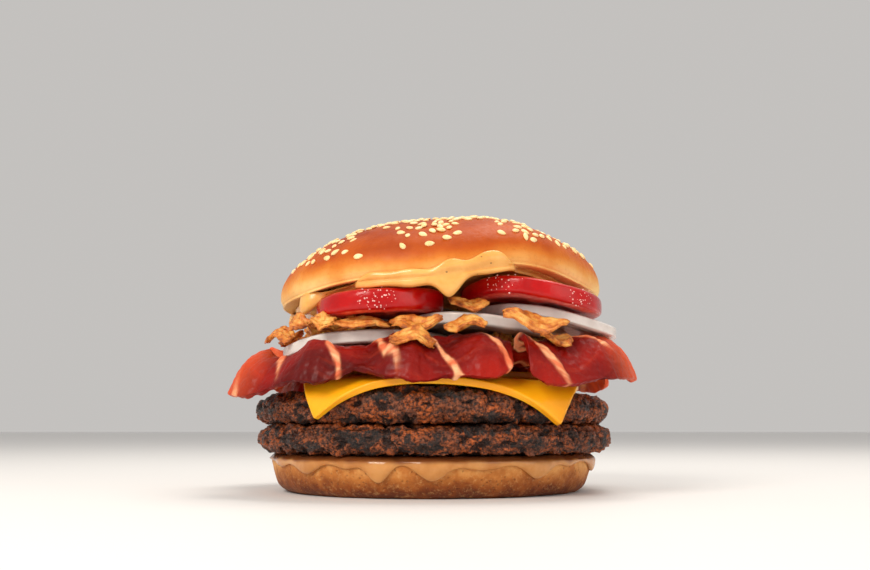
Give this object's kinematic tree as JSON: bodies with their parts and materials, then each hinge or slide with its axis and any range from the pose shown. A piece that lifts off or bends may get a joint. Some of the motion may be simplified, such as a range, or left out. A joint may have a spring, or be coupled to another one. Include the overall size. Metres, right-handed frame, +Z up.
{
  "type": "double cheeseburger",
  "caption": "Tall burger: seeded bun, cheese-topped beef patties, ruffled bacon, onion, crisp fried onion and tomato slices with sauces.",
  "frame": {"origin": "middle of the bottom bun's flat underside, on the surface it stands on", "axes": "+Z up through the bun; +X to the right as the burger is looked at from the front; the front, with the hanging cheese corners, faces -Y"},
  "size_m": [0.1288, 0.1262, 0.089],
  "materials": {
    "crust": "satin baked crust, brown on top and pale at the lip",
    "heel_crust": "matt baked crust",
    "cheese_sauce": "glossy pale yellow sauce",
    "bun_sauce": "glossy pale yellow sauce",
    "beef": "rough grilled beef, moist, with charred patches",
    "cheese": "smooth satin processed cheese",
    "bacon": "glossy cooked bacon with pale streaks of fat",
    "onion": "moist, a little translucent white onion",
    "fried_onion": "crisp golden fried onion",
    "tomato": "wet red tomato"
  },
  "bodies": {
    "root": {"bun_heel": "heel_crust", "cheese_sauce": "cheese_sauce", "patty_lower": "beef", "patty_upper": "beef", "cheese_front": "cheese", "cheese_back": "cheese", "bacon_front_left": "bacon", "bacon_front_right": "bacon", "bacon_back_left": "bacon", "bacon_back_right": "bacon", "fried_onion_bed": "fried_onion", "fried_onion_layer": "fried_onion", "onion_left": "onion", "onion_middle": "onion", "onion_right": "onion", "onion_back": "onion", "fried_onion_01": "fried_onion", "fried_onion_02": "fried_onion", "fried_onion_03": "fried_onion", "fried_onion_04": "fried_onion", "fried_onion_05": "fried_onion", "fried_onion_06": "fried_onion", "fried_onion_07": "fried_onion", "fried_onion_08": "fried_onion", "fried_onion_09": "fried_onion", "fried_onion_10": "fried_onion", "fried_onion_11": "fried_onion", "fried_onion_12": "fried_onion", "fried_onion_13": "fried_onion", "fried_onion_14": "fried_onion", "tomato_left": "tomato", "tomato_right": "tomato", "tomato_back": "tomato", "bun_sauce": "bun_sauce", "bun_crown": "crust"}
  },
  "joints": []
}
